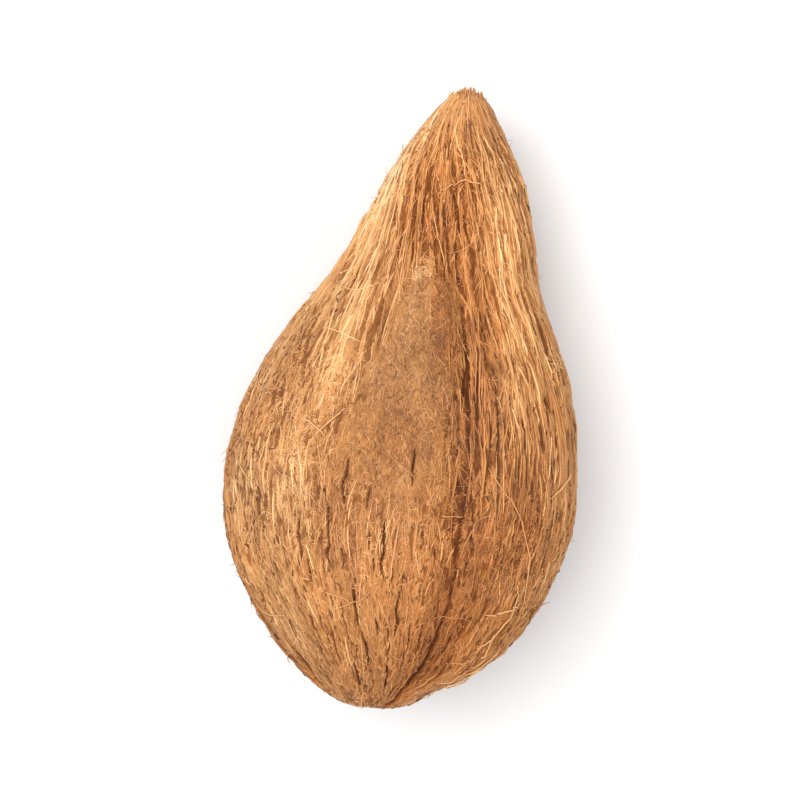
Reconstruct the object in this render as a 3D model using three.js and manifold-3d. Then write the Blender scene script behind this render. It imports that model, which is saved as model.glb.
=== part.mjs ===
// A half-husked coconut. The smooth outer skin has been stripped off, and the coarse brown fibre
// is left on the nut and drawn together into a blunt tuft at the stem end.
//
// Millimetres, +Z up. The fruit lies on its side, with the tuft towards +Y. The origin is the
// middle of the small flat spot that its weight presses into the fibre underneath.
//
// On the fruit itself a place is given by its station, the distance along the fruit's own axis
// from the blossom end, and by its bearing, the angle round that axis from the upper side (0)
// towards +X (90).
import * as THREE from 'three';
import Module from 'manifold-3d';
import { mergeVertices } from 'three/addons/utils/BufferGeometryUtils.js';

// ---- Driving dimensions ----

const LENGTH = 228;
const THICKNESS_RATIO = 0.95; // how thick the fruit is, bottom to top, for its width
const FLAT_SPOT_DEPTH = 2.6; // how far the flat spot is pressed in
const TUFT_DROOP = THREE.MathUtils.degToRad(8.5); // the tuft lies lower than the blossom end

// Half of the fruit's width at each station: the round end, the belly, the neck and the tuft.
const OUTLINE = [
  [0, 0],
  [1, 10],
  [4, 18.5],
  [10, 27.5],
  [20, 39],
  [34, 50.2],
  [50, 58.5],
  [66, 63],
  [84, 65],
  [104, 61.5],
  [124, 55.5],
  [142, 46.5],
  [160, 37],
  [180, 30.5],
  [200, 23.5],
  [214, 15.5],
  [223, 9],
  [227, 4.5],
  [LENGTH, 0],
];

// The fruit isn't quite straight: [station, half-length of the bend, how far it leans towards +X].
const BENDS = [
  [76, 66, -2.4],
  [196, 44, 1.8],
];

// Three grooves part the husk into three lobes, and they meet at both ends of the fruit.
const LOBES = 3;
const LOBE_SWELL = 0.03; // how far a lobe's crown stands out, as a share of the radius
const VALLEY_DEPTH = 1.8; // the lobes round over into a shallow valley
const VALLEY_WIDTH = 32;
const SEAM_DEPTH = 3; // and a narrow seam runs along the bottom of it
const SEAM_WIDTH = 7;
const SEAM_ON_NECK = 0.4; // the share of the seam's depth that is left on the neck
const NECK_START = 130; // the stations between which it loses the rest
const NECK_END = 175;

// The first groove runs straight over the belly and curls aside towards both ends.
const BELLY = 95; // the station where it runs straightest
const GROOVE_ON_BELLY = THREE.MathUtils.degToRad(22.5);
const GROOVE_SLANT = THREE.MathUtils.degToRad(6); // how far it turns in the first 100 mm
const GROOVE_CURL = THREE.MathUtils.degToRad(18); // and how far its curl adds to that

// Places where the fibre lies lower:
// [station, bearing in degrees, half-length, half-width in degrees, depth].
const HOLLOWS = [
  [178, -24, 24, 22, 2.4], // torn back on the neck
  [118, -8, 42, 20, 1.8], // the worn, felted patch on the belly
  [9, 82, 7, 34, 5], // the notch beside the lip at the blossom end
];

// The fibres lie in low cords that run the length of the fruit, sway aside and come and go.
const CORDS = 23;
const CORD_HEIGHT = 0.7;
const CORD_SWAY = 1.4; // in radians of a cord's own wave
const CORD_SWAY_LENGTH = 31;
const CORD_FADE_LENGTH = 24;

const SMOOTH_END = 30; // where the fruit is narrower than this, its relief fades away

// How finely the surface is divided round the fruit and along it, and how far the divisions
// crowd towards the grooves.
const SEGMENTS = 102;
const RINGS = 40;
const CROWDING = 0.19;

const SAME_POINT = 1e-3; // points closer than this are one point

const HUSK_COLOUR = 0xc98f57;

// ---- Shape of the husk ----

/** The bearing of the first groove; the others follow a third of a turn apart. */
function grooveBearing(station) {
  const along = (station - BELLY) / 100;
  return GROOVE_ON_BELLY - GROOVE_SLANT * along - GROOVE_CURL * along ** 3;
}

/** How far a bearing lies from the nearest groove, as an angle from -60 to 60 degrees. */
function angleFromGroove(station, bearing) {
  const pitch = (2 * Math.PI) / LOBES;
  const turn = bearing - grooveBearing(station);
  return turn - pitch * Math.round(turn / pitch);
}

/** A smooth bump of height 1 that fades to nothing a little past one half-width. */
function bump(distance) {
  return Math.exp(-distance * distance * 1.5);
}

/** How far the middle of the fruit lies to the side of its axis. */
function lean(station) {
  return BENDS.reduce((shift, [centre, halfLength, most]) => {
    return shift + most * bump((station - centre) / halfLength);
  }, 0);
}

/** How much lower the husk lies where it is hollowed. */
function hollowDepth(station, bearing) {
  return HOLLOWS.reduce((depth, [centre, middle, halfLength, halfWidth, deep]) => {
    const across = THREE.MathUtils.radToDeg(bearing) - middle;
    const turned = across - 360 * Math.round(across / 360);
    return depth + deep * bump((station - centre) / halfLength) * bump(turned / halfWidth);
  }, 0);
}

/** The low, uneven ridges of the fibre cords. */
function cordRelief(station, bearing) {
  const sway = CORD_SWAY * Math.sin(station / CORD_SWAY_LENGTH);
  const strength = Math.sin(2 * bearing + station / CORD_FADE_LENGTH);
  return CORD_HEIGHT * strength * Math.sin(CORDS * bearing + sway);
}

/** How deep a groove is at a distance to the side of its middle. */
function grooveDepth(station, aside) {
  const neck = THREE.MathUtils.smoothstep(station, NECK_START, NECK_END);
  const seamDepth = THREE.MathUtils.lerp(SEAM_DEPTH, SEAM_ON_NECK * SEAM_DEPTH, neck);
  return VALLEY_DEPTH * bump((2 * aside) / VALLEY_WIDTH) + seamDepth * bump((2 * aside) / SEAM_WIDTH);
}

/** The distance from the fruit's axis to its surface, for the radius that the outline gives. */
function huskRadius(outlineRadius, station, bearing) {
  const away = angleFromGroove(station, bearing);
  const thickness = Math.hypot(Math.sin(bearing), THICKNESS_RATIO * Math.cos(bearing));
  const swell = 1 - LOBE_SWELL * Math.cos(LOBES * away);
  const round = outlineRadius * thickness * swell;
  const groove = grooveDepth(station, away * outlineRadius);
  const relief = cordRelief(station, bearing) - groove - hollowDepth(station, bearing);
  return round + relief * THREE.MathUtils.smoothstep(outlineRadius, 0, SMOOTH_END);
}

/** Moves a bearing towards the grooves, so that more of the surface's divisions fall there. */
function crowdAtGrooves(station, bearing) {
  return bearing - CROWDING * Math.sin(LOBES * angleFromGroove(station, bearing));
}

function huskGeometry() {
  const points = OUTLINE.map(([station, halfWidth]) => new THREE.Vector2(halfWidth, station));
  const profile = new THREE.SplineCurve(points).getSpacedPoints(RINGS);
  profile[0].x = 0;
  profile[RINGS].x = 0;
  const geometry = new THREE.LatheGeometry(profile, SEGMENTS);
  const position = geometry.getAttribute('position');
  for (let i = 0; i < position.count; i += 1) {
    const station = position.getY(i);
    const outlineRadius = Math.hypot(position.getX(i), position.getZ(i));
    const even = Math.atan2(position.getX(i), position.getZ(i));
    const bearing = crowdAtGrooves(station, even);
    const radius = huskRadius(outlineRadius, station, bearing);
    position.setX(i, radius * Math.sin(bearing) + lean(station));
    position.setZ(i, radius * Math.cos(bearing));
  }
  return geometry;
}

// ---- Laying it down ----

/** A closed geometry as a solid that can be cut. */
function solidOf(wasm, geometry) {
  const bare = geometry.clone();
  bare.deleteAttribute('normal');
  bare.deleteAttribute('uv');
  const merged = mergeVertices(bare, SAME_POINT);
  const vertProperties = merged.getAttribute('position').array;
  const triVerts = new Uint32Array(merged.index.array);
  return new wasm.Manifold(new wasm.Mesh({ numProp: 3, vertProperties, triVerts }));
}

/** A cut solid as a geometry again. */
function geometryOf(solid) {
  const { vertProperties, triVerts } = solid.getMesh();
  const geometry = new THREE.BufferGeometry();
  geometry.setAttribute('position', new THREE.BufferAttribute(vertProperties, 3));
  geometry.setIndex(new THREE.BufferAttribute(triVerts, 1));
  geometry.computeVertexNormals();
  return geometry;
}

/** Lowers the geometry until the ground plane would cut the flat spot, as deep as it is pressed in. */
function sinkIntoGround(geometry) {
  geometry.computeBoundingBox();
  geometry.translate(0, 0, -geometry.boundingBox.min.z - FLAT_SPOT_DEPTH);
}

/** Slides the geometry along the ground until its flat spot is centred on the origin. */
function centreOnFlatSpot(geometry) {
  const position = geometry.getAttribute('position');
  const flatSpot = new THREE.Box3();
  const point = new THREE.Vector3();
  for (let i = 0; i < position.count; i += 1) {
    point.fromBufferAttribute(position, i);
    if (Math.abs(point.z) < SAME_POINT) flatSpot.expandByPoint(point);
  }
  const centre = flatSpot.getCenter(new THREE.Vector3());
  geometry.translate(-centre.x, -centre.y, 0);
}

async function coconutGeometry() {
  const wasm = await Module();
  wasm.setup();
  const husk = huskGeometry();
  husk.rotateX(-TUFT_DROOP);
  sinkIntoGround(husk);
  const ground = new THREE.BoxGeometry(2 * LENGTH, 4 * LENGTH, LENGTH);
  ground.translate(0, 0, -LENGTH / 2);
  const geometry = geometryOf(solidOf(wasm, husk).subtract(solidOf(wasm, ground)));
  centreOnFlatSpot(geometry);
  return geometry;
}

const fibre = new THREE.MeshStandardMaterial({
  color: HUSK_COLOUR,
  roughness: 0.95,
  metalness: 0,
});

const coconut = new THREE.Mesh(await coconutGeometry(), fibre);
coconut.name = 'coconut';

const fruit = new THREE.Group();
fruit.add(coconut);

export default fruit;
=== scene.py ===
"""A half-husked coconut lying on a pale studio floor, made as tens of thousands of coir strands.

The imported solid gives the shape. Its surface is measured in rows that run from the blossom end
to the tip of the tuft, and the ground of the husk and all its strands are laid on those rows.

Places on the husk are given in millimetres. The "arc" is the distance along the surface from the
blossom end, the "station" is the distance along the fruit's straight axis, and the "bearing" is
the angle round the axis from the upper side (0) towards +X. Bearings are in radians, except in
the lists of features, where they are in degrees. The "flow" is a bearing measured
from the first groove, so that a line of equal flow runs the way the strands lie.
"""

import math
from collections import namedtuple

import bpy
import numpy as np
from mathutils import Matrix, Vector
from mathutils.bvhtree import BVHTree


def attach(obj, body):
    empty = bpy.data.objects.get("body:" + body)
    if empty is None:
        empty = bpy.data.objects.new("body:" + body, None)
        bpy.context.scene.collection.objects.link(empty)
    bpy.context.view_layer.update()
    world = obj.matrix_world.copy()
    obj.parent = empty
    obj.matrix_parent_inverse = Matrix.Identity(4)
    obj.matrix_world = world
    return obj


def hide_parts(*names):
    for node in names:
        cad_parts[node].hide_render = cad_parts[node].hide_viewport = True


MM = 0.001
FULL_TURN = 2 * math.pi
SEED = 7

# ---- The fruit, as the solid was designed ----

LENGTH = 228.0
WIDEST = 65.0  # its largest half-width
TUFT_DROOP = math.radians(8.5)  # the tuft lies lower than the blossom end
LOBES = 3
BELLY = 95.0  # the station where the grooves run straightest
GROOVE_ON_BELLY = math.radians(22.5)  # the first groove's bearing there
GROOVE_SLANT = math.radians(6)  # how far it turns over the slant's length
GROOVE_CURL = math.radians(18)  # and how far its curl adds to that
SLANT_LENGTH = 100

# ---- How finely the husk's ground is made ----

ROWS = 420
COLUMNS = 800
TRIAL_ROWS = 160  # rows that are cast first, to find out how long the surface is
TRIAL_COLUMNS = 8
SMOOTHING = 1.6  # mm, takes the facets off the measured surface
FAN_FROM = 0.27  # the share of the length where the rays to the blossom end start on the axis
FAN_MOVES = 0.5  # and how much further along it those to the tip start
FAN_MOVES_OVER = (0.1, 1.0)

# ---- Features of the husk ----

# How strongly the dark seam shows along a groove, from the blossom end to the tip.
SEAM_STATIONS = (0, 8, 44, 58, 68, 84, 96, 108, 138, 152, 228)
SEAM_STRENGTHS = (0.5, 1.0, 0.9, 0.35, 0.85, 0.8, 0.35, 1.0, 0.9, 0.3, 0.25)
SEAM_SHIFT = 14  # each groove's strengths lie this much nearer the blossom end than the last one's
SEAM_DEPTH = 1.2
SEAM_HALF_WIDTH = 0.8
SEAM_UNEVENNESS = 0.4  # the share of its width that comes and goes
SEAM_UNEVEN_LENGTH = 9
SEAM_SWAY = 0.6  # how far it sways from the middle of its groove
SEAM_SWAY_LENGTH = 11
LEAST_RADIUS = 2  # beside a seam, the fruit counts as no thinner than this
VALLEY_HALF_WIDTH = 15  # painted shade darkens the fibre this far from a seam, and the fibre is redder there
VALLEY_PAINTED_SHADE = 0.14
VALLEY_WARMER = 0.32
VALLEY_RADII = (10, 40)  # between these radii the painted shade starts

# Dark slits where the fibre has parted: (station, bearing in degrees, length, width).
SLITS = (
    (59, -32, 15, 1.1),
    (61, -22, 23, 0.9),
    (82, -19, 17, 0.9),
    (61, -3, 22, 1.2),
    (63, -8, 8, 0.6),
    (91, 2, 14, 0.9),
    (39, -10, 15, 1.0),
    (78, -11, 8, 0.6),
    (38, 7, 17, 0.9),
    (31, -45, 18, 0.9),
    (27, -29, 10, 0.8),
    (40, -35, 9, 0.6),
    (48, -28, 8, 0.6),
    (22, -20, 12, 0.7),
    (24, -4, 13, 0.8),
    (14, -34, 14, 0.8),
    (12, -8, 12, 0.8),
    (14, 12, 10, 0.7),
    (72, -49, 7, 0.9),
    (86, -55, 7, 0.8),
    (95, -48, 6, 0.9),
    (52, -52, 9, 0.7),
    (66, 10, 7, 0.6),
    (48, 14, 8, 0.6),
    (30, 22, 12, 0.7),
    (143, 64, 18, 1.3),
    (118, 58, 14, 0.7),
    (60, 40, 9, 0.6),
    (50, 52, 10, 0.6),
    (30, 55, 9, 0.7),
    (13, -48, 16, 1.1),
    (20, -68, 12, 0.8),
)
SLIT_DEPTH = 1.4
SLIT_SWAY = 0.7
SLIT_SWAY_LENGTH = 5

# More slits lie in broken lines all round the fruit. They are finer and end sooner between the
# bearings where slits are listed. Each pair is the least and the most.
SLIT_LINES = 48
LINE_START = (3, 30)
LINE_END = 100
FINE_LINE_END = 60
LINE_SLIT_LENGTH = (5, 14)
LINE_SLIT_WIDTH = (0.5, 1.0)
FINE_SLIT_WIDTH = (0.35, 0.60)
LINE_SLIT_ASIDE = 2.5  # degrees to either side of its line
LINE_SPACE = 3  # the least space between two slits of a line
LINE_EXTRA_SPACE = 16  # and how much more there is on average
PLACED_FROM = -62
PLACED_TO = 66

# How light and how warm the fibre is, apart from the tints.
MEAN_LIGHT = 0.45
NECK_LIGHTER = 0.08
NECK_LIGHT_RISES = (105, 160)
MEAN_WARMTH = 0.57

# Places that are lighter or darker, greyer or redder than the rest, where some of the lightness
# is a painted highlight or painted shade, as marked:
# (station, bearing in degrees, half-length, half-width in degrees, lightness, warmth).
TINTS_AND_PAINTED_LIGHT = (
    (178, -62, 40, 24, 0.20, -0.12),  # the left lobe's crown, on the neck: lighter fibre and a painted highlight
    (124, -34, 30, 10, 0.20, -0.06),  # and down the belly, with the same painted highlight
    (84, -36, 36, 12, 0.13, -0.08),
    (204, -75, 24, 40, 0.10, -0.08),  # and up the tuft: a painted highlight on its left flank
    (222, 0, 14, 120, -0.10, -0.18),  # the tip of the tuft, darker and greyer
    (84, -92, 66, 18, -0.12, 0.20),  # painted shade darkens the left lobe down its side, where the fibre is also redder
    (84, -48, 60, 30, 0.00, -0.20),  # and yellower on the belly
    (180, -18, 20, 22, -0.10, 0.35),  # the torn hollow on the neck, redder
    (136, -4, 22, 15, -0.06, -0.10),  # the worn patch
    (104, -6, 30, 21, -0.06, -0.06),
    (160, -10, 4, 7, 0.10, -0.25),  # lighter where a pale tangle sits at its top
    (160, 42, 44, 15, 0.09, 0.05),  # the right lobe's lit crown
    (214, 35, 16, 30, -0.15, 0.00),  # darker on the tuft
    (84, 52, 44, 24, -0.07, 0.20),  # and redder on the belly, darkened by painted shade towards its side
    (30, -12, 24, 36, -0.02, 0.02),  # the round end: its middle, left and right
    (40, -42, 24, 24, 0.06, -0.12),
    (28, 50, 26, 26, 0.00, 0.12),
    (110, 165, 40, 22, -0.04, -0.05),  # the far side
    (150, 200, 40, 20, 0.12, 0.00),
)

PALE_SPOT = (161, -9, 6, 7)  # a tangle of pale down: its place as above, without the tints

# Where the fibre is worn down to felt: (station, bearing in degrees, half-length, half-width).
WORN = (
    (146, 0, 15, 24),
    (118, -4, 28, 22),
    (96, -5, 27, 25),
    (108, 168, 34, 22),
)
WORN_STARTS = 0.12  # how near its middle a worn patch starts, and is full, as a share
WORN_FULL = 0.95
CRISP_STARTS = 0.20  # how much nearer to each other these two are at its clearer upper edge
CRISP_FULL = 0.47
CRISP_RISES = (70, 130)  # the stations between which its edge gets clearer
WORN_DARKER = 0.04
WORN_COOLER = 0.06

# The stations between which the matted fibre ends, and the combed fibre starts on the neck and
# on the right lobe.
MATTED_ENDS = (40, 78)
NECK_COMBED = (112, 150)
LOBE_COMBED = (70, 104)

# The lobe to the right of the first groove: the flow at which it starts, is whole and ends.
LOBE_WORN_EDGE = (-0.015, 0.010, 1.2)
LOBE_COMBED_EDGE = (-0.01, 0.04, 1.4)

# On the neck and the tuft, the strands are gathered into locks.
LOCKS = 44
LOCK_PULL = 0.72
LOCKS_RISE = (118, 165)

# Noise drawn out along the fruit: how strong it is, how many cells it has round the fruit, how
# long each cell is, and its seed.
Streaks = namedtuple("Streaks", "strength cells length seed")

WORN_EDGE = Streaks(0.09, 90, 14, 41)
WORN_FINE_EDGE = Streaks(0.07, 250, 7, 42)
BROAD_LIGHT = Streaks(0.07, 34, 30, 51)
FINE_LIGHT = Streaks(0.06, 120, 12, 52)
WARMTH = Streaks(0.16, 26, 24, 53)
BROAD_CORDS = Streaks(0.22, 150, 24, 61)
FINE_CORDS = Streaks(0.14, 330, 10, 62)
BROAD_LUMPS = Streaks(0.40, 36, 15, 63)
FINE_LUMPS = Streaks(0.25, 70, 7, 64)
LOCK_SWAY = Streaks(0.035, 9, 26, 71)
COVER_EDGE = Streaks(8, 40, 20, 81)
SHORT_GAPS = Streaks(1, 420, 4.5, 91)
LONG_GAPS = Streaks(1, 260, 12, 92)
LOCK_GAPS = Streaks(1, 60, 14, 93)
SPECKS = Streaks(1, 460, 4, 94)

# How much of that noise opens into gaps: where a gap starts and where it is full.
SHORT_GAPS_OPEN = (0.42, 0.66)
LONG_GAPS_OPEN = (0.36, 0.62)
LOCK_GAPS_OPEN = (0.0, 0.4)
SPECKS_OPEN = (0.44, 0.62)
LOCK_EDGE = (0.80, 0.98)

# Long strands that lie loose on the side shown, as their (station, bearing in degrees) points.
LOOSE_PATHS = (
    ((94, 30), (86, 37), (80, 44), (66, 54), (52, 61), (41, 76)),
    ((98, 73), (91, 63), (83, 52)),
    ((55, 54), (45, 59), (35, 58), (22, 50)),
    ((74, 15), (74, 21), (75, 27)),
    ((190, -12), (195, -3), (196, 8), (195, 19), (190, 31)),
    ((186, -16), (176, -6), (168, 1), (160, 4)),
    ((139, 23), (125, 23), (108, 24)),
    ((136, 25), (120, 25), (102, 27)),
    ((107, -24), (100, -29), (92, -34)),
    ((96, -28), (100, -34), (101, -42)),
    ((84, -62), (78, -55), (76, -47)),
    ((42, 46), (46, 56), (52, 68)),
    ((27, 68), (18, 63), (10, 56)),
    ((32, 72), (23, 70), (15, 66)),
    ((24, 86), (17, 78), (11, 70)),
    ((36, 58), (29, 62), (24, 68)),
    ((19, 92), (14, 80), (12, 70)),
)


def smooth_step(value, low, high):
    """0 below low, 1 above high, and a soft S between them."""
    t = np.clip((value - low) / (high - low), 0, 1)
    return t * t * (3 - 2 * t)


def bump(distance):
    """A soft bump of height 1, nearly gone at twice the half-width."""
    return np.exp(-1.5 * distance * distance)


def wrapped(angle):
    """An angle brought between -pi and pi."""
    return (angle + math.pi) % FULL_TURN - math.pi


def noise(across, along, seed, around=0):
    """Smooth noise between -1 and 1, with a cell per unit; it repeats after "around" cells."""
    x0 = np.floor(across).astype(np.int64)
    y0 = np.floor(along).astype(np.int64)
    fx = across - x0
    fy = along - y0
    fx = fx * fx * (3 - 2 * fx)
    fy = fy * fy * (3 - 2 * fy)

    def corner(dx, dy):
        x = (x0 + dx) % around if around else x0 + dx
        h = (x * 374761393 + (y0 + dy) * 668265263 + seed * 974634777) & 0xFFFFFFFF
        h = ((h ^ (h >> 13)) * 1274126177) & 0xFFFFFFFF
        return ((h ^ (h >> 16)) & 0xFFFFFF) / 0x7FFFFF - 1.0

    low = corner(0, 0) * (1 - fx) + corner(1, 0) * fx
    high = corner(0, 1) * (1 - fx) + corner(1, 1) * fx
    return low * (1 - fy) + high * fy


def streaks(flow, arc, kind):
    """Noise drawn out along the fruit, of one of the kinds listed above."""
    across = flow / FULL_TURN * kind.cells
    return kind.strength * noise(across, arc / kind.length, kind.seed, kind.cells)


# ---- The husk's features, by place ----

def groove_bearing(station):
    """The bearing of the first groove at a station."""
    along = (station - BELLY) / SLANT_LENGTH
    return GROOVE_ON_BELLY - GROOVE_SLANT * along - GROOVE_CURL * along ** 3


def patch(station, bearing, centre, middle, half_length, half_width):
    """1 in the middle of a patch, fading to 0 around it. Its middle and width are in degrees."""
    turned = np.degrees(wrapped(bearing - math.radians(middle)))
    return bump((station - centre) / half_length) * bump(turned / half_width)


def seams(station, flow, radius):
    """1 in the dark seam at the bottom of each groove, 0 away from it, and the groove's valley."""
    pitch = FULL_TURN / LOBES
    groove = np.round(flow / pitch)
    sway = SEAM_SWAY * noise(station / SEAM_SWAY_LENGTH, groove, 31)
    off = (flow - pitch * groove) * np.maximum(radius, LEAST_RADIUS) + sway
    place = station + SEAM_SHIFT * (groove % LOBES)
    strength = np.interp(place, SEAM_STATIONS, SEAM_STRENGTHS)
    unevenness = SEAM_UNEVENNESS * noise(station / SEAM_UNEVEN_LENGTH, groove, 32)
    width = SEAM_HALF_WIDTH * (1 + unevenness)
    return strength * bump(off / width), bump(off / VALLEY_HALF_WIDTH)


def slit_places(rng):
    """All the slits: the listed ones, and broken lines of them round the rest."""
    places = list(SLITS)
    for line in range(SLIT_LINES):
        middle = 360 * line / SLIT_LINES - 180
        station = rng.uniform(*LINE_START)
        while station < LINE_END:
            length = rng.uniform(*LINE_SLIT_LENGTH)
            sideways = middle + LINE_SLIT_ASIDE * rng.normal()
            placed = PLACED_FROM < sideways < PLACED_TO
            width = rng.uniform(*(FINE_SLIT_WIDTH if placed else LINE_SLIT_WIDTH))
            if station < FINE_LINE_END or not placed:
                places.append((station + length / 2, sideways, length, width))
            station += length + LINE_SPACE + rng.exponential(LINE_EXTRA_SPACE)
    return places


def slits(station, flow, radius, places):
    """1 inside the dark slits, 0 away from them."""
    found = np.zeros_like(station)
    for centre, middle, length, width in places:
        near = np.abs(station - centre) < length / 2
        along = (station[near] - centre) / (length / 2)
        middle_flow = math.radians(middle) - groove_bearing(centre)
        sway = SLIT_SWAY * noise(station[near] / SLIT_SWAY_LENGTH, np.full(along.shape, centre), 33)
        off = wrapped(flow[near] - middle_flow) * radius[near] + sway
        taper = np.sqrt(1 - along * along)
        inside = 1 - smooth_step(np.abs(off), 0.2 * width * taper, 0.8 * width * taper + 0.01)
        found[near] = np.maximum(found[near], inside)
    return found


def right_lobe(flow, starts, whole, ends):
    """1 on the lobe to the right of the first groove, 0 elsewhere."""
    return smooth_step(flow, starts, whole) * (flow < ends)


def worn(station, bearing, flow):
    """1 where the strands are worn down to felt, 0 where they are whole."""
    found = np.zeros_like(station)
    for centre, middle, half_length, half_width in WORN:
        found = np.maximum(found, patch(station, bearing, centre, middle, half_length, half_width))
    edge = streaks(flow, station, WORN_EDGE) + streaks(flow, station, WORN_FINE_EDGE)
    crisp = smooth_step(station, *CRISP_RISES)
    starts = WORN_STARTS + CRISP_STARTS * crisp
    full = WORN_FULL - CRISP_FULL * crisp
    return smooth_step(found + edge, starts, full) * (1 - right_lobe(wrapped(flow), *LOBE_WORN_EDGE))


def tints_and_painted_light(station, bearing, flow):
    """How light and how warm the fibre is at a place, both about 0.5. Some of the lightness is
    painted highlight and painted shade.
    """
    light = MEAN_LIGHT + NECK_LIGHTER * smooth_step(station, *NECK_LIGHT_RISES)
    light = light + streaks(flow, station, BROAD_LIGHT) + streaks(flow, station, FINE_LIGHT)
    warm = MEAN_WARMTH + streaks(flow, station, WARMTH)
    for centre, middle, half_length, half_width, lighter, warmer in TINTS_AND_PAINTED_LIGHT:
        share = patch(station, bearing, centre, middle, half_length, half_width)
        light = light + lighter * share
        warm = warm + warmer * share
    return light, warm


def lock_angle(station, flow):
    """How far round its own lock a place is: 0 in the gap between two locks, pi in the middle."""
    return LOCKS * (flow + streaks(flow, station, LOCK_SWAY))


def gaps(station, flow, curly, combed, matted, lock_gap):
    """1 in the short dark gaps between the strands, 0 where fibre covers the ground."""
    short = smooth_step(streaks(flow, station, SHORT_GAPS), *SHORT_GAPS_OPEN)
    speck = smooth_step(streaks(flow, station, SPECKS), *SPECKS_OPEN)
    long = smooth_step(streaks(flow, station, LONG_GAPS), *LONG_GAPS_OPEN)
    lock = smooth_step(streaks(flow, station, LOCK_GAPS), *LOCK_GAPS_OPEN)
    fine = np.maximum(short * (0.8 * curly + 0.6 * combed), speck * (matted + 0.5 * curly))
    return np.maximum(fine, np.maximum(long * combed, smooth_step(lock_gap, *LOCK_EDGE) * lock))


# ---- The measured surface ----

class Husk:
    """The solid's surface as a grid of points, by arc and bearing, with its features."""

    def __init__(self, node):
        mesh = node.data
        faces = [face.vertices for face in mesh.polygons]
        self.tree = BVHTree.FromPolygons([vertex.co / MM for vertex in mesh.vertices], faces)
        points = np.array([vertex.co for vertex in mesh.vertices]) / MM
        self.across = np.array((1.0, 0.0, 0.0))
        self.axis = np.array((0.0, math.cos(TUFT_DROOP), -math.sin(TUFT_DROOP)))
        self.front = np.array((0.0, math.sin(TUFT_DROOP), math.cos(TUFT_DROOP)))
        along = points @ self.axis
        middle = (points[along.argmin()] + points[along.argmax()]) / 2
        self.origin = middle - self.axis * LENGTH / 2
        self.bearings = np.arange(COLUMNS) / COLUMNS * FULL_TURN - math.pi
        sideways = np.outer(np.sin(self.bearings), self.across)
        self.out = sideways + np.outer(np.cos(self.bearings), self.front)
        self.measure()

    def fan(self, share):
        """A ray's start and lean: they sweep from the blossom end (0) to the tip (1)."""
        start = LENGTH * (FAN_FROM + FAN_MOVES * smooth_step(share, *FAN_MOVES_OVER))
        lean = math.pi * (1 - share)
        return self.origin + self.axis * start, math.cos(lean) * self.axis, math.sin(lean)

    def cast(self, share, columns):
        """Where the rays of one row meet the solid."""
        start, forward, spread = self.fan(share)
        directions = forward + spread * self.out[columns]
        reach = [self.tree.ray_cast(Vector(start), Vector(d))[3] for d in directions]
        return start + np.array(reach)[:, None] * directions

    def measure(self):
        """Fills the grid of surface points, with its rows evenly spaced along the surface."""
        trial = np.linspace(0, 1, TRIAL_ROWS + 1)
        few = np.arange(0, COLUMNS, COLUMNS // TRIAL_COLUMNS)
        rows = np.array([self.cast(share, few) for share in trial])
        steps = np.linalg.norm(np.diff(rows, axis=0), axis=2).mean(axis=1)
        arcs = np.concatenate(([0], np.cumsum(steps)))
        self.meridian = arcs[-1]
        self.arcs = np.linspace(0, self.meridian, ROWS + 1)
        shares = np.interp(self.arcs, arcs, trial)
        grid = np.array([self.cast(share, slice(None)) for share in shares])
        self.settle(np.stack([self.softened(grid[..., i]) for i in range(3)], axis=-1))

    def softened(self, values):
        """Values of the grid with the solid's facets smoothed out of them."""
        values = blurred_rows(values, SMOOTHING * ROWS / self.meridian)
        return blurred_rows(values.T, SMOOTHING * COLUMNS / (FULL_TURN * WIDEST), loop=True).T

    def settle(self, grid):
        """Takes a grid of points as the surface and works out its normals, stations and radii."""
        self.points = grid
        down_rows = np.gradient(grid, axis=0)
        round_columns = np.roll(grid, -1, axis=1) - np.roll(grid, 1, axis=1)
        normals = np.cross(round_columns, down_rows)
        normals[0] = -self.axis
        normals[-1] = self.axis
        self.normals = normals / np.linalg.norm(normals, axis=2, keepdims=True)
        from_origin = grid - self.origin
        self.stations = from_origin @ self.axis
        self.radii = np.hypot(from_origin @ self.across, from_origin @ self.front)

    def mark_features(self, rng):
        """Works out the features at every place of the grid."""
        station, radius = self.stations, self.radii
        bearing = np.broadcast_to(self.bearings, radius.shape)
        flow = bearing - groove_bearing(station)
        self.seam, self.valley = seams(station, flow, radius)
        self.slit_places = slit_places(rng)
        self.slit = slits(station, flow, radius, self.slit_places)
        self.worn = worn(station, bearing, flow)
        self.mark_covers(station, flow)
        self.lock = smooth_step(station, *LOCKS_RISE)
        self.lock_gap = self.lock * (0.5 + 0.5 * np.cos(lock_angle(station, flow))) ** 2
        self.gap = gaps(station, flow, self.curly, self.combed, self.matted, self.lock_gap)
        self.light, self.warm = tints_and_painted_light(station, bearing, flow)
        # Painted shade in the grooves' valleys; the worn felt is darker and cooler in its own colour.
        shaded = VALLEY_PAINTED_SHADE * self.valley * smooth_step(radius, *VALLEY_RADII)
        self.light -= shaded + WORN_DARKER * self.worn
        self.warm += VALLEY_WARMER * self.valley - WORN_COOLER * self.worn
        self.pale = patch(station, bearing, *PALE_SPOT) ** 2

    def mark_covers(self, station, flow):
        """Shares the husk out between matted, combed and curly fibre, where it isn't worn."""
        ragged = station + streaks(flow, station, COVER_EDGE)
        neck = smooth_step(ragged, *NECK_COMBED)
        lobe = smooth_step(ragged, *LOBE_COMBED) * right_lobe(flow, *LOBE_COMBED_EDGE)
        self.matted = (1 - smooth_step(ragged, *MATTED_ENDS)) * (1 - self.worn)
        self.combed = np.maximum(neck, lobe) * (1 - self.worn)
        self.curly = (1 - self.matted) * (1 - self.combed) * (1 - self.worn)

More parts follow.
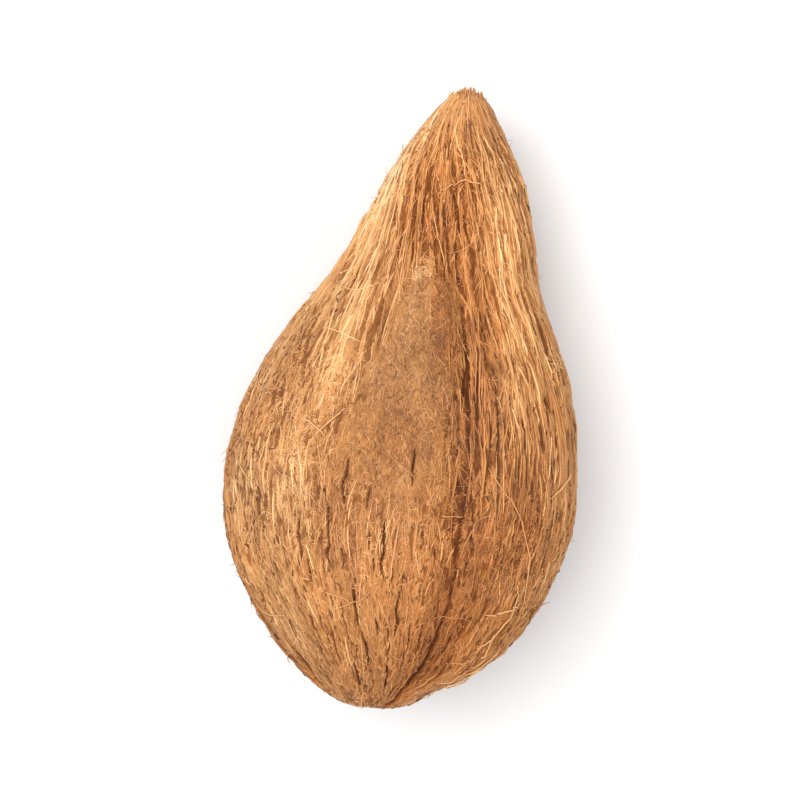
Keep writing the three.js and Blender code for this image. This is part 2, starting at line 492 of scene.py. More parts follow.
    def openings(self, arcs, bearings):
        """1 wherever the ground shows: in the gaps, the slits and the seams."""
        covers = self.curly, self.combed, self.matted, self.lock_gap
        fields = self.stations, self.radii, self.seam, *covers
        station, radius, seam, *covers = [self.read(field, arcs, bearings) for field in fields]
        flow = bearings - groove_bearing(station)
        cut = slits(station, flow, radius, self.slit_places) + seam
        return np.clip(gaps(station, flow, *covers) + cut, 0, 1)

    def read(self, values, arc, bearing):
        """Values of the grid at any arcs and bearings, blended from the four nearest places."""
        row = np.clip(arc / self.meridian * ROWS, 0, ROWS - 1e-6)
        column = (bearing + math.pi) / FULL_TURN * COLUMNS
        i = row.astype(int)
        j = np.floor(column).astype(int)
        fi = row - i
        fj = column - j
        j = j % COLUMNS
        k = (j + 1) % COLUMNS
        if values.ndim == 3:
            fi = fi[..., None]
            fj = fj[..., None]
        near = values[i, j] * (1 - fj) + values[i, k] * fj
        far = values[i + 1, j] * (1 - fj) + values[i + 1, k] * fj
        return near * (1 - fi) + far * fi


def blurred_rows(values, sigma, loop=False):
    """The values with a Gaussian blur down their rows."""
    reach = int(math.ceil(3 * sigma))
    weights = np.exp(-0.5 * (np.arange(-reach, reach + 1) / sigma) ** 2)
    weights /= weights.sum()
    padded = np.pad(values, ((reach, reach), (0, 0)), mode="wrap" if loop else "edge")
    rows = len(values)
    return sum(weight * padded[k:k + rows] for k, weight in enumerate(weights))


# ---- Meshes ----

def new_object(name, data):
    """An object made of the data, in the scene."""
    made = bpy.data.objects.new(name, data)
    bpy.context.scene.collection.objects.link(made)
    return made


def new_piece(name, points, quads, triangles, uvs, material):
    """A mesh object from arrays: points in mm, the corners of its quads and of its triangles,
    and a UV place for each corner."""
    faces = np.concatenate((quads.ravel(), triangles.ravel()))
    sides = np.repeat((4, 3), (quads.size // 4, triangles.size // 3))
    mesh = bpy.data.meshes.new(name)
    points = points.reshape(-1, 3).copy()
    points[:, 2] = np.maximum(points[:, 2], 0.0)
    mesh.vertices.add(len(points))
    mesh.vertices.foreach_set("co", (points * MM).astype(np.float32).ravel())
    mesh.loops.add(len(faces))
    mesh.loops.foreach_set("vertex_index", faces.astype(np.int32))
    mesh.polygons.add(len(sides))
    starts = np.concatenate(([0], np.cumsum(sides)[:-1]))
    mesh.polygons.foreach_set("loop_start", starts.astype(np.int32))
    mesh.update(calc_edges=True)
    mesh.polygons.foreach_set("use_smooth", np.ones(len(sides), bool))
    layer = mesh.uv_layers.new(name="OFBake", do_init=False)
    layer.uv.foreach_set("vector", uvs.astype(np.float32).ravel())
    mesh.materials.append(material)
    mesh.validate()
    piece = new_object(name, mesh)
    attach(piece, "root")
    return piece


GROUND_SUNK = 0.35  # how far it lies below the measured surface, to make room for the strands
GAP_DEPTH = 0.4
LOCK_GAP_DEPTH = 0.6
WORN_SMOOTHER = 0.6  # the share of its relief that is worn away in the worn patches
RELIEF_RADII = (2, 25)  # the relief fades away where the fruit is thinner than this

# Painted shade on the ground: how much darker it is where no short fibre covers it and it lies
# bare under the strands, in the seams and slits, and in the gaps, added to the shade their depth
# casts; and how well two kinds of fibre cover it.
BARE_PAINTED_SHADE = 0.18
CUT_PAINTED_SHADE = 0.34
GAP_PAINTED_SHADE = 0.14
WORN_COVER = 0.9
MATTED_COVER = 0.55


def relief(husk):
    """How far the ground stands out from the measured surface."""
    bearing = np.broadcast_to(husk.bearings, husk.radii.shape)
    flow = bearing - groove_bearing(husk.stations)
    arc = np.broadcast_to(husk.arcs[:, None], husk.radii.shape)
    cords = streaks(flow, arc, BROAD_CORDS) + streaks(flow, arc, FINE_CORDS)
    lumps = streaks(flow, arc, BROAD_LUMPS) + streaks(flow, arc, FINE_LUMPS)
    whole = 1 - WORN_SMOOTHER * husk.worn
    cut = SEAM_DEPTH * husk.seam + SLIT_DEPTH * husk.slit
    cut = cut + GAP_DEPTH * husk.gap + LOCK_GAP_DEPTH * husk.lock_gap
    return smooth_step(husk.radii, *RELIEF_RADII) * (whole * (cords + lumps) - cut) - GROUND_SUNK


def make_ground(husk, material):
    """The husk under its loose strands, as one closed skin."""
    husk.settle(husk.points + husk.normals * relief(husk)[..., None])
    inner = husk.points[1:-1].reshape(-1, 3)
    points = np.concatenate((husk.points[:1].mean(axis=1), inner, husk.points[-1:].mean(axis=1)))
    i = np.arange(ROWS - 2)[:, None]
    j = np.arange(COLUMNS)[None, :]
    k = (j + 1) % COLUMNS
    row = 1 + i * COLUMNS
    above = row + COLUMNS
    quads = np.stack(np.broadcast_arrays(row + j, above + j, above + k, row + k), axis=-1)
    last = len(points) - 1
    near = np.stack((np.zeros_like(j[0]), 1 + j[0], 1 + k[0]), axis=-1)
    far = np.stack((np.full_like(j[0], last), last - COLUMNS + k[0], last - COLUMNS + j[0]), axis=-1)
    caps = np.concatenate((near, far))
    ground = new_piece("husk_ground", points, quads, caps, ground_places(), material)
    paint_ground(ground, husk)
    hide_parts("coconut")


def ground_places():
    """The ground's UV map: bearing across it and arc up it."""
    def place(row, column):
        return np.stack(np.broadcast_arrays(column / COLUMNS, row / ROWS), axis=-1)

    i = np.arange(ROWS - 2.0)[:, None] + 1
    j = np.arange(float(COLUMNS))
    quads = np.stack((place(i, j), place(i + 1, j), place(i + 1, j + 1), place(i, j + 1)), axis=2)
    near = np.stack((place(0.0, j + 0.5), place(1.0, j), place(1.0, j + 1)), axis=1)
    last = ROWS - 1.0
    far = np.stack((place(last + 1, j + 0.5), place(last, j + 1), place(last, j)), axis=1)
    return np.concatenate((quads.reshape(-1, 2), near.reshape(-1, 2), far.reshape(-1, 2)))


def paint_ground(ground, husk):
    """Gives the skin its lightness and warmth, which its material turns into colour. The lightness
    carries painted shade in the seams, slits and gaps, and where the ground lies bare under the
    strands.
    """
    covered = np.clip(WORN_COVER * husk.worn + MATTED_COVER * husk.matted, 0, 1)
    shaded_cuts = np.clip(husk.seam + husk.slit, 0, 1)
    # Painted shade in the seams, slits and gaps, and where the ground lies bare under the strands.
    light = husk.light - BARE_PAINTED_SHADE * (1 - covered) - CUT_PAINTED_SHADE * shaded_cuts - GAP_PAINTED_SHADE * husk.gap
    for name, values in (("lightness", light), ("warmth", husk.warm), ("felt", covered)):
        values = np.clip(values, 0, 1)
        first, last = values[:1].mean(axis=1), values[-1:].mean(axis=1)
        on_points = np.concatenate((first, values[1:-1].ravel(), last))
        layer = ground.data.attributes.new(name, "FLOAT", "POINT")
        layer.data.foreach_set("value", on_points.astype(np.float32))


# ---- Strands ----

END_MARGIN = 0.3  # no strand is laid nearer than this to the two ends of the surface
TURNING_RADIUS = 4  # where the fruit is thinner, strands turn aside as if it had this radius


def trace(husk, rng, arc, bearing, length, heading, curl, wander, steps):
    """Walks each strand over the husk, and gives its arcs and bearings at every step."""
    stride = length / steps
    arcs, bearings = [arc], [bearing]
    for _ in range(steps):
        heading = heading + curl / steps + wander * rng.normal(size=len(arc))
        radius = husk.read(husk.radii, arc, bearing)
        station = husk.read(husk.stations, arc, bearing)
        moved = np.clip(arc + stride * np.cos(heading), END_MARGIN, husk.meridian - END_MARGIN)
        twist = groove_bearing(husk.read(husk.stations, moved, bearing)) - groove_bearing(station)
        bearing = bearing + twist + stride * np.sin(heading) / np.maximum(radius, TURNING_RADIUS)
        arc = moved
        arcs.append(arc)
        bearings.append(bearing)
    return np.stack(arcs, axis=1), np.stack(bearings, axis=1)


def gathered(husk, arcs, bearings):
    """The bearings drawn together into the locks of the neck and the tuft."""
    station = husk.read(husk.stations, arcs, bearings)
    pull = LOCK_PULL * husk.read(husk.lock, arcs, bearings)
    return bearings + pull * np.sin(lock_angle(station, bearings - groove_bearing(station))) / LOCKS


def sweep(name, centres, normals, radii, tone, material):
    """One closed three-sided tube along each centre line, coloured by each point's tone."""
    strands, stops = radii.shape
    ahead = np.gradient(centres, axis=1)
    ahead /= np.linalg.norm(ahead, axis=2, keepdims=True) + 1e-9
    side = np.cross(ahead, normals)
    side /= np.linalg.norm(side, axis=2, keepdims=True) + 1e-9
    up = np.cross(side, ahead)
    corner = math.pi / 2 + np.arange(3) * FULL_TURN / 3
    ring = np.cos(corner)[:, None] * side[:, :, None, :]
    ring = ring + np.sin(corner)[:, None] * up[:, :, None, :]
    points = centres[:, :, None, :] + ring * radii[:, :, None, None]
    first = (np.arange(strands) * stops * 3)[:, None, None]
    i = first + (np.arange(stops - 1) * 3)[None, :, None]
    j = np.arange(3)[None, None, :]
    k = (j + 1) % 3
    quads = np.stack(np.broadcast_arrays(i + j, i + k, i + 3 + k, i + 3 + j), axis=-1)
    start = first[:, 0] + np.array([[2, 1, 0]])
    end = first[:, 0] + (stops - 1) * 3 + np.array([[0, 1, 2]])
    caps = np.concatenate((start, end))
    return new_piece(name, points, quads, caps, palette_places(tone), material)


PALETTE_STEP = 0.0012  # how far apart the corners of a strand's face are on the palette
PALETTE_RANGE = (0.01, 0.98)  # how much of the palette is used


def palette_places(tone):
    """UV places for the tubes. The UV map is the palette, with lightness across it and warmth up
    it, and a face's corners are set a little apart on it, so that every face has a width there."""
    stops = tone.shape[1]
    across = PALETTE_STEP * np.arange(4)[:, None] * np.array((1.0, 0.0))
    spot = np.clip(tone, *PALETTE_RANGE)[:, :, None, :] + across
    spot = spot + PALETTE_STEP * (np.arange(stops) % 2)[None, :, None, None] * np.array((0.0, 1.0))
    quads = np.stack((spot[:, :-1, :3], spot[:, :-1, 1:], spot[:, 1:, 1:], spot[:, 1:, :3]), axis=3)
    apart = np.array(((0.0, PALETTE_STEP), (0.0, 0.0), (0.0, PALETTE_STEP)))
    start = spot[:, 0, [2, 1, 0]] + apart
    end = spot[:, -1, [0, 1, 2]] + apart
    return np.concatenate((quads.reshape(-1, 2), start.reshape(-1, 2), end.reshape(-1, 2)))


def laid(husk, arcs, bearings, height):
    """Points at a height over the husk, with the husk's normals there."""
    normals = husk.read(husk.normals, arcs, bearings)
    normals = normals / np.linalg.norm(normals, axis=2, keepdims=True)
    return husk.read(husk.points, arcs, bearings) + normals * height[..., None], normals


def strand_tone(husk, rng, arcs, bearings, brighter, spread):
    """The lightness and warmth of each strand, all along it."""
    own = rng.normal(size=(len(arcs), 2)) * spread
    light = husk.read(husk.light, arcs, bearings) + brighter + own[:, :1]
    warm = husk.read(husk.warm, arcs, bearings) + own[:, 1:]
    return np.stack((light, warm), axis=-1)


def scatter(husk, rng, count, where):
    """Places on the husk, as many on each patch of its area as the "where" field says, sorted
    from the blossom end to the tuft."""
    where = np.clip(where, 0, 1)
    arcs, bearings = np.zeros(0), np.zeros(0)
    while len(arcs) < count:
        arc = rng.uniform(0, husk.meridian, 4 * count)
        bearing = rng.uniform(-math.pi, math.pi, 4 * count)
        chance = husk.read(husk.radii, arc, bearing) / WIDEST * husk.read(where, arc, bearing)
        keep = rng.uniform(size=4 * count) < chance
        arcs = np.concatenate((arcs, arc[keep]))
        bearings = np.concatenate((bearings, bearing[keep]))
    order = np.argsort(arcs[:count])
    return arcs[:count][order], bearings[:count][order]


# A kind of fibre that lies on the husk, in mm and radians. It grows longer where the husk is
# combed. Spread points it aside, curl turns it on its way and wander makes it uneven. Lift is how
# far up it lies, least and most, weave how far it dips and rises, and sink how deep its ends are
# tucked in. Cut is the share of its width that gaps take. It is brighter than the ground, and
# its lightness and its warmth are varied from strand to strand.
Kind = namedtuple(
    "Kind", "length grow width steps spread curl wander lift weave sink cut brighter varied"
)

UNDERCOAT = Kind(20, 0.6, 0.76, 12, 0.05, 0.12, 0.03, (-0.3, 0), 0.12, 0.5, 0.55, 0, (0.09, 0.12))
COAT = Kind(18, 1.1, 0.78, 15, 0.05, 0.14, 0.03, (-0.05, 0.35), 0.22, 0.5, 1, 0.09, (0.11, 0.12))
MATTING = Kind(6, 0.5, 0.46, 5, 0.14, 0.4, 0.07, (-0.05, 0.16), 0, 0.2, 1, 0.03, (0.08, 0.08))
CURLS = Kind(4.2, 0.4, 0.5, 5, 0.45, 0.9, 0.14, (0, 0.32), 0, 0.1, 1, 0.07, (0.08, 0.10))
DOWN = Kind(3.2, 0, 0.32, 4, 0.4, 0.6, 0.12, (0, 0.16), 0, 0.05, 1, 0.02, (0.13, 0.10))
FLECKS = Kind(2.4, 0.8, 0.52, 4, 0.22, 0.3, 0.05, (0.22, 0.4), 0, 0.15, 0, -0.3, (0.09, 0.10))
TANGLE = Kind(5, 0, 0.34, 8, 1.2, 4, 0.25, (0.1, 0.8), 0.2, 0.2, 0, 0.22, (0.07, 0.06))

# What all of them share. Each pair is the least and the most.
LENGTHS_VARY = (0.5, 1.5)
WIDTHS_VARY = (0.6, 1.3)
WEAVES = (1.0, 3.5)  # how many times a strand dips and rises
CURLY_LOOSER = 0.8  # how much more it spreads and curls in the curly fibre
FIRST_START = 0.5  # where the first strands start, in mm from the blossom end
LAST_START = 1.0  # and the last ones, in mm from the tip
END_WIDTH = 0.35  # the share of a strand's width that is left at its ends
GAP_SINK = 0.5  # how deep strands sink where the ground shows
GAP_CUTS = (0.30, 0.85)  # how open a gap is where it starts to thin a strand, and where it has
GAP_STRANDS_SHADE = 0.18  # painted shade: how much darker strands are in a gap
WORN_THINNER = 0.75  # how much thinner all but the down are in the worn patches
THINNEST = 0.01


def make_strands(husk, rng, name, kind, count, pieces, where, material):
    """Fibre of one kind, spread over the husk where the field says, in a number of pieces."""
    arc, bearing = scatter(husk, rng, count, where)
    combed = husk.read(husk.combed, arc, bearing)
    length = kind.length * (1 + kind.grow * combed) * rng.uniform(*LENGTHS_VARY, count)
    loosened = 1 + CURLY_LOOSER * husk.read(husk.curly, arc, bearing)
    heading = kind.spread * loosened * rng.normal(size=count)
    curl = kind.curl * loosened * rng.normal(size=count)
    start = np.clip(arc - length / 2, FIRST_START, husk.meridian - LAST_START)
    arcs, bearings = trace(husk, rng, start, bearing, length, heading, curl, kind.wander, kind.steps)
    bearings = gathered(husk, arcs, bearings)
    gap = husk.openings(arcs, bearings)
    along = np.linspace(0, 1, kind.steps + 1)
    arch = 1 - (2 * along - 1) ** 4
    height = rng.uniform(*kind.lift, count)[:, None] * arch - kind.sink * (1 - arch) - GAP_SINK * gap
    weaves = rng.uniform(*WEAVES, count)[:, None] * along + rng.uniform(size=count)[:, None]
    height = height + kind.weave * np.sin(FULL_TURN * weaves) * arch
    tapered = END_WIDTH + (1 - END_WIDTH) * arch
    thick = kind.width / 2 * rng.uniform(*WIDTHS_VARY, count)[:, None] * tapered
    thick = thick * (1 - kind.cut * smooth_step(gap, *GAP_CUTS)) + THINNEST
    if kind is not DOWN:
        thick = thick * (1 - WORN_THINNER * husk.read(husk.worn, arcs, bearings))
    centres, normals = laid(husk, arcs, bearings, height)
    tone = strand_tone(husk, rng, arcs, bearings, kind.brighter, kind.varied)
    # Painted shade on the strands where they sink into a gap.
    tone[..., 0] -= GAP_STRANDS_SHADE * gap
    for number, part in enumerate(np.array_split(np.arange(count), pieces), 1):
        sweep(f"{name}_{number}", centres[part], normals[part], thick[part], tone[part], material)


# Strands that have come loose: how many, how long and how high they are, the least and the most,
# how far they curl, how wide they are and how much lighter than the ground.
Loose = namedtuple("Loose", "count length rise curl width brighter")

LONG_LOOSE = Loose(80, (10, 28), (0.8, 3.5), 1.3, 0.46, 0.18)
SHORT_LOOSE = Loose(360, (3, 8), (0.8, 3.2), 0.8, 0.36, 0.02)
LOOSE_STEPS = 14
LOOSE_SPREAD = 0.8  # how far they point aside, in radians
LOOSE_WANDER = 0.10
LOOSE_WIDTHS_VARY = (0.6, 1.4)
LOOSE_SUNK = 0.1  # how deep their roots are
LOW_ARCH = 0.4  # how high the ones that are held at both ends are, next to the free ones
LOOSE_VARIED = (0.08, 0.10)  # how much their lightness and their warmth vary


def make_loose(husk, rng, name, loose, material):
    """Strands that have come loose: some arch over the others, and some stick out."""
    count = loose.count
    arc, bearing = scatter(husk, rng, count, np.ones_like(husk.radii))
    size = rng.uniform(*loose.length, count)
    heading = LOOSE_SPREAD * rng.normal(size=count) + math.pi * (rng.uniform(size=count) < 0.5)
    curl = loose.curl * rng.normal(size=count)
    arcs, bearings = trace(husk, rng, arc, bearing, size, heading, curl, LOOSE_WANDER, LOOSE_STEPS)
    along = np.linspace(0, 1, LOOSE_STEPS + 1)
    free = (rng.uniform(size=count) < 0.5)[:, None]
    top = rng.uniform(*loose.rise, count)[:, None]
    arch = LOW_ARCH * top * np.sin(math.pi * along)
    height = np.where(free, top * along ** 1.6, arch) - LOOSE_SUNK
    thick = loose.width / 2 * rng.uniform(*LOOSE_WIDTHS_VARY, count)[:, None] * (1 - 0.6 * along ** 3)
    centres, normals = laid(husk, arcs, bearings, height)
    tone = strand_tone(husk, rng, arcs, bearings, loose.brighter, LOOSE_VARIED)
    sweep(name, centres, normals, thick, tone, material)


def smooth_path(points, stops):
    """A smooth line through the points, as evenly timed stops along it."""
    points = np.array(points, dtype=float)
    padded = np.concatenate((2 * points[:1] - points[1:2], points, 2 * points[-1:] - points[-2:-1]))
    time = np.linspace(0, len(points) - 1, stops)
    i = np.minimum(time.astype(int), len(points) - 2)
    t = (time - i)[:, None]
    before, here, there, after = padded[i], padded[i + 1], padded[i + 2], padded[i + 3]
    pull = there - before
    push = after - here
    rest = 2 * (here - there)
    return here + 0.5 * t * (pull + t * (-1.5 * rest - 2 * pull - push + t * (rest + pull + push)))


PLACED_STOPS = 24
PLACED_HEIGHT = 0.5  # how high the ends of a placed strand lie
PLACED_ARCH = (0.4, 1.1)  # and how much higher its middle does
PLACED_HALF_WIDTH = 0.33
PLACED_WIDTHS_VARY = (0.8, 1.2)
PLACED_TONE = (0.26, (0.04, 0.06))  # how much brighter it is, and how it varies


def make_placed_loose(husk, rng, material):
    """The long loose strands of the side shown."""
    paths = np.array([smooth_path(path, PLACED_STOPS) for path in LOOSE_PATHS])
    arcs = np.interp(paths[..., 0], husk.stations.mean(axis=1), husk.arcs)
    bearings = np.radians(paths[..., 1])
    along = np.linspace(0, 1, PLACED_STOPS)
    count = len(paths)
    arch = rng.uniform(*PLACED_ARCH, count)[:, None] * np.sin(math.pi * along) ** 0.6
    height = PLACED_HEIGHT + arch
    tapered = 1 - 0.5 * np.abs(2 * along - 1) ** 3
    thick = PLACED_HALF_WIDTH * rng.uniform(*PLACED_WIDTHS_VARY, count)[:, None] * tapered
    centres, normals = laid(husk, arcs, bearings, height)
    tone = strand_tone(husk, rng, arcs, bearings, *PLACED_TONE)
    sweep("loose_long", centres, normals, thick, tone, material)


FRINGE_STRANDS = 320
FRINGE_STARTS = (14, 36)  # how far before the tip the fringe's strands start
FRINGE_LEAVES = (2.0, 8)  # how far before the tip they leave the husk
FRINGE_PAST = (0.4, 3.0)  # and how far on they go from there
FRINGE_SPREAD = 0.05
FRINGE_WANDER = 0.03
FRINGE_LIFT = (0, 0.9)
FRINGE_SINK = 0.4
FRINGE_HALF_WIDTH = 0.42
FRINGE_TONE = (0.12, (0.10, 0.10))
STEPS_ON_HUSK = 8
STEPS_PAST = 4


def make_fringe(husk, rng, material):
    """The ends of the strands, which stand out a little past the tip of the tuft."""
    count = FRINGE_STRANDS
    start = husk.meridian - rng.uniform(*FRINGE_STARTS, count)
    bearing = rng.uniform(-math.pi, math.pi, count)
    length = husk.meridian - start - rng.uniform(*FRINGE_LEAVES, count)
    heading = FRINGE_SPREAD * rng.normal(size=count)
    walk = trace(husk, rng, start, bearing, length, heading, 0, FRINGE_WANDER, STEPS_ON_HUSK)
    along = np.linspace(0, 1, STEPS_ON_HUSK + 1)
    height = rng.uniform(*FRINGE_LIFT, count)[:, None] * along - FRINGE_SINK * (1 - along) ** 4
    centres, normals = laid(husk, *walk, height)
    last = centres[:, -1] - centres[:, -2]
    last /= np.linalg.norm(last, axis=1, keepdims=True)
    ahead = 0.45 * last + 0.65 * husk.axis + 0.12 * rng.normal(size=(count, 3))
    past = np.linspace(0, 1, STEPS_PAST + 1)[1:, None] * rng.uniform(*FRINGE_PAST, count)[:, None, None]
    centres = np.concatenate((centres, centres[:, -1:] + past * ahead[:, None, :]), axis=1)
    normals = with_end_repeated(normals)
    whole = np.linspace(0, 1, STEPS_ON_HUSK + STEPS_PAST + 1)
    tapered = 1 - 0.65 * whole ** 4
    thick = FRINGE_HALF_WIDTH * rng.uniform(*WIDTHS_VARY, count)[:, None] * tapered
    tone = with_end_repeated(strand_tone(husk, rng, *walk, *FRINGE_TONE))
    sweep("fringe", centres, normals, thick, tone, material)


def with_end_repeated(values):
    """Values along the fringe's strands, with the last ones kept for the steps past the husk."""
    return np.concatenate((values, np.repeat(values[:, -1:], STEPS_PAST, axis=1)), axis=1)


# ---- Materials ----

class Nodes:
    """Shorthand for building a material's node tree."""

    def __init__(self, name):
        self.material = bpy.data.materials.new(name)
        self.material.use_nodes = True
        self.tree = self.material.node_tree
        self.shader = self.tree.nodes["Principled BSDF"]

    def add(self, kind, inputs=None, **settings):
        """A node, with each input given as a value or as the socket that feeds it."""
        node = self.tree.nodes.new(kind)
        for key, value in settings.items():
            setattr(node, key, value)
        for key, value in (inputs or {}).items():
            if isinstance(value, bpy.types.NodeSocket):
                self.tree.links.new(value, node.inputs[key])
            else:
                node.inputs[key].default_value = value
        return node

    def scaled(self, value, factor, offset):
        """value * factor + offset, where the offset may be a socket too."""
        node = self.add("ShaderNodeMath", {0: value, 1: factor, 2: offset}, operation="MULTIPLY_ADD")
        return node.outputs[0]

    def link(self, socket, name):
        self.tree.links.new(socket, self.shader.inputs[name])

    def set(self, **values):
        """Sets the shader's own sockets, named with _ for each space."""
        for name, value in values.items():
            self.shader.inputs[name.replace("_", " ")].default_value = value


def srgb(red, green, blue):
    """A colour given as 0 to 255 in sRGB, as the linear values that Blender uses."""
    def linear(value):
        value /= 255
        return value / 12.92 if value <= 0.04045 else ((value + 0.055) / 1.055) ** 2.4
    return linear(red), linear(green), linear(blue), 1.0


# Fibre from dark to light, for grey-brown fibre and for red-brown fibre.
STOPS = (0.0, 0.25, 0.5, 0.75, 1.0)
COOL_FIBRE = ((80, 52, 32), (132, 92, 56), (186, 140, 92), (224, 181, 130), (246, 218, 172))
WARM_FIBRE = ((84, 42, 14), (148, 86, 36), (204, 134, 70), (236, 174, 106), (252, 212, 150))


def ramp(nodes, position, colours):
    """A colour ramp through the colours, which are given as 0 to 255 in sRGB."""
    node = nodes.add("ShaderNodeValToRGB", {0: position})
    stops = node.color_ramp.elements
    for place in STOPS[1:-1]:
        stops.new(place)
    for stop, colour in zip(stops, colours):
        stop.color = srgb(*colour)
    return node.outputs["Color"]


def fibre_colour(nodes, lightness, warmth):
    """The palette: a ramp for cool fibre and one for warm fibre, mixed by warmth."""
    cool = ramp(nodes, lightness, COOL_FIBRE)
    warm = ramp(nodes, lightness, WARM_FIBRE)
    mix = nodes.add("ShaderNodeMix", data_type="RGBA")
    nodes.tree.links.new(warmth, mix.inputs["Factor"])
    nodes.tree.links.new(cool, mix.inputs["A"])
    nodes.tree.links.new(warm, mix.inputs["B"])
    return mix.outputs["Result"]


def strand_material():
    """Coir: its colour comes from the strand's place on the palette, and dark strands are duller."""
    nodes = Nodes("coir_strand")
    place = nodes.add("ShaderNodeUVMap", uv_map="OFBake").outputs["UV"]
    split = nodes.add("ShaderNodeSeparateXYZ", {0: place})
    lightness, warmth = split.outputs["X"], split.outputs["Y"]
    nodes.link(fibre_colour(nodes, lightness, warmth), "Base Color")
    nodes.link(nodes.scaled(lightness, factor=-0.25, offset=0.78), "Roughness")
    nodes.set(Specular_IOR_Level=0.3, Sheen_Weight=0.1, Sheen_Roughness=0.5)
    return nodes.material


def streaky(nodes, place, across, along):
    """Noise on the ground's UV map, with so many cells round the fruit and along it."""
    mapped = nodes.add("ShaderNodeMapping", {"Vector": place, "Scale": (across, along, 1)})
    inputs = {"Vector": mapped.outputs[0], "Scale": 1.0, "Detail": 3.0}
    return nodes.add("ShaderNodeTexNoise", inputs).outputs["Fac"]


def ground_material():
    """The fibre that the strands grow out of: fine streaks along the fruit, matt and rough."""
    nodes = Nodes("husk_ground")
    lightness = nodes.add("ShaderNodeAttribute", attribute_name="lightness").outputs["Fac"]
    warmth = nodes.add("ShaderNodeAttribute", attribute_name="warmth").outputs["Fac"]
    felt = nodes.add("ShaderNodeAttribute", attribute_name="felt").outputs["Fac"]
    place = nodes.add("ShaderNodeUVMap", uv_map="OFBake").outputs["UV"]
    fine = streaky(nodes, place, 850, 95)
    broad = streaky(nodes, place, 240, 45)
    streaked = nodes.scaled(fine, factor=0.50, offset=-0.25)
    mottled = nodes.scaled(broad, factor=0.34, offset=-0.17)
    varied = nodes.scaled(streaked, 1.0, nodes.scaled(mottled, 1.0, lightness))
    nodes.link(fibre_colour(nodes, varied, warmth), "Base Color")
    nodes.link(nodes.scaled(felt, factor=0.12, offset=0.82), "Roughness")
    bump_map = nodes.add("ShaderNodeBump", {"Strength": 0.8, "Distance": 0.5 * MM, "Height": fine})
    nodes.link(bump_map.outputs["Normal"], "Normal")
    nodes.set(Specular_IOR_Level=0.2)
    return nodes.material


# ---- The studio ----

FLOOR_HALF = 3.0
FLOOR_COLOUR = (0.82, 0.82, 0.82, 1)
LIGHT_SIZE = 1.2
KEY_PLACE = (-0.45, 0.35, 1.4)  # from the middle of the fruit
KEY_POWER = 27
FILL_PLACE = (0.8, -0.4, 1.2)
FILL_POWER = 9
WORLD_STRENGTH = 0.48
CAMERA_DISTANCE = 1.3
CAMERA_LENS = 160
CAMERA_ROLL = math.radians(9.7)  # the tuft leans to the right
CAMERA_ASIDE = 6 * MM  # the belly reaches further to the left of the axis than to the right


def make_floor():
    mesh = bpy.data.meshes.new("floor")
    corners = [(-1, -1), (1, -1), (1, 1), (-1, 1)]
    mesh.from_pydata([(FLOOR_HALF * x, FLOOR_HALF * y, 0) for x, y in corners], [], [(0, 1, 2, 3)])
    floor = new_object("floor", mesh)
    nodes = Nodes("pale_floor")
    nodes.set(Base_Color=FLOOR_COLOUR, Roughness=0.9, Specular_IOR_Level=0.1)
    mesh.materials.append(nodes.material)


def soft_light(name, aim, place, power):
    """A square area light at a place from its aim."""
    data = bpy.data.lights.new(name, "AREA")
    data.shape = "SQUARE"
    data.size = LIGHT_SIZE
    data.energy = power
    lamp = new_object(name, data)
    lamp.location = aim + Vector(place)
    lamp.rotation_euler = (-Vector(place)).to_track_quat("-Z", "Y").to_euler()


def make_lights(centre):
    soft_light("key", centre, KEY_PLACE, KEY_POWER)
    soft_light("fill", centre, FILL_PLACE, FILL_POWER)
    world = bpy.data.worlds.new("studio")
    world.use_nodes = True
    background = world.node_tree.nodes["Background"]
    background.inputs["Color"].default_value = (1, 1, 1, 1)
    background.inputs["Strength"].default_value = WORLD_STRENGTH
    bpy.context.scene.world = world


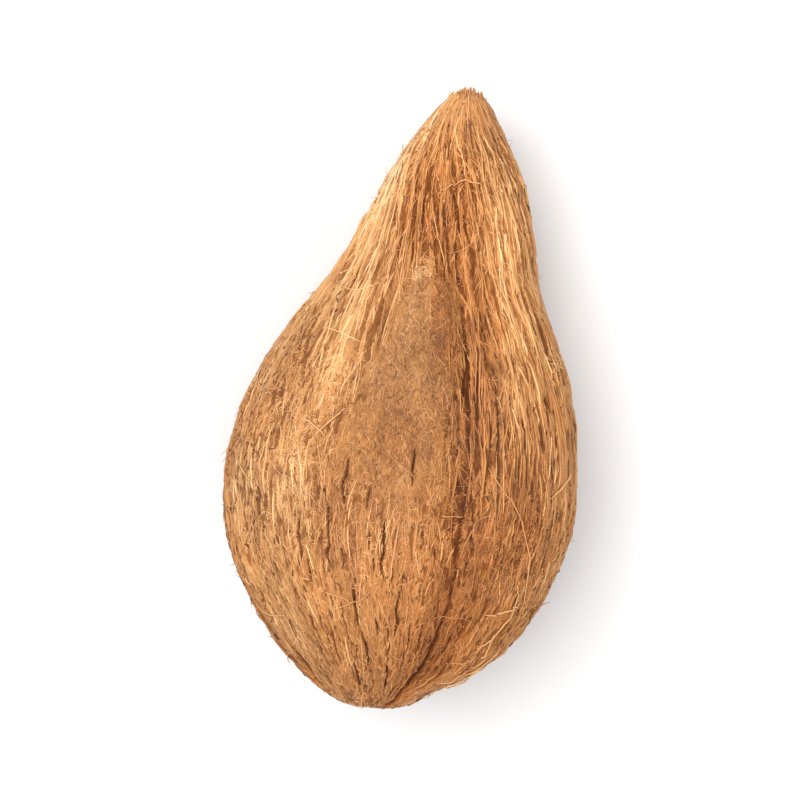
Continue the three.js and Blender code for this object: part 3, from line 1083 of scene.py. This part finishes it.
def make_camera(husk):
    """Looks straight down on the side of the fruit that faces up, square to its axis."""
    data = bpy.data.cameras.new("camera")
    data.lens = CAMERA_LENS
    camera = new_object("camera", data)
    front, axis, across = Vector(husk.front), Vector(husk.axis), Vector(husk.across)
    up = axis * math.cos(CAMERA_ROLL) - across * math.sin(CAMERA_ROLL)
    right = up.cross(front)
    middle = Vector(husk.origin + husk.axis * LENGTH / 2) * MM
    place = middle + front * CAMERA_DISTANCE - right * CAMERA_ASIDE
    turned = Matrix((right, up, front)).transposed().to_4x4()
    camera.matrix_world = Matrix.Translation(place) @ turned
    bpy.context.scene.camera = camera
    bpy.context.scene.view_settings.view_transform = "Standard"
    return middle


# ---- The whole picture ----


def make_fibre(husk, rng, material):
    """All the fibre on the husk, from the lowest layer up, each where its field says."""
    coat = husk.combed + 0.55 * husk.curly + 0.2 * husk.matted
    bedded = 0.75 * husk.curly + 0.3 * husk.combed + 0.1 * husk.worn + 0.5 * husk.valley
    curls = husk.curly + 0.10 * husk.matted + 0.04 * husk.combed + 0.03 * husk.worn
    flecks = 0.8 * husk.matted + husk.curly + 0.5 * husk.combed + 0.25 * husk.worn
    layers = (  # name, kind, how many strands, in how many pieces, where
        ("undercoat", UNDERCOAT, 3200, 2, coat),
        ("coat", COAT, 2400, 2, coat),
        ("matting", MATTING, 24500, 4, husk.matted + bedded),
        ("curls", CURLS, 9000, 2, curls),
        ("down", DOWN, 7000, 1, husk.worn),
        ("flecks", FLECKS, 2600, 1, flecks),
        ("tangle", TANGLE, 110, 1, husk.pale),
    )
    for name, kind, count, pieces, where in layers:
        make_strands(husk, rng, name, kind, count, pieces, where, material)
    make_loose(husk, rng, "loose_strands", LONG_LOOSE, material)
    make_loose(husk, rng, "loose_ends", SHORT_LOOSE, material)
    make_placed_loose(husk, rng, material)
    make_fringe(husk, rng, material)


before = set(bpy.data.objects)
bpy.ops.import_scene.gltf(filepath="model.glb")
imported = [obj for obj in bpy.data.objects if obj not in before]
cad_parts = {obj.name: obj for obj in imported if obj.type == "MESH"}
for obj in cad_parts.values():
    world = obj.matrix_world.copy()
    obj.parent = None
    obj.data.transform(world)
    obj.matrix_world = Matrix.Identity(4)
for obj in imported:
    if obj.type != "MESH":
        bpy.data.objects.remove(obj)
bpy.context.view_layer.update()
rng = np.random.default_rng(SEED)
husk = Husk(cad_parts["coconut"])
husk.mark_features(rng)
make_lights(make_camera(husk))
make_floor()
make_ground(husk, ground_material())
make_fibre(husk, rng, strand_material())
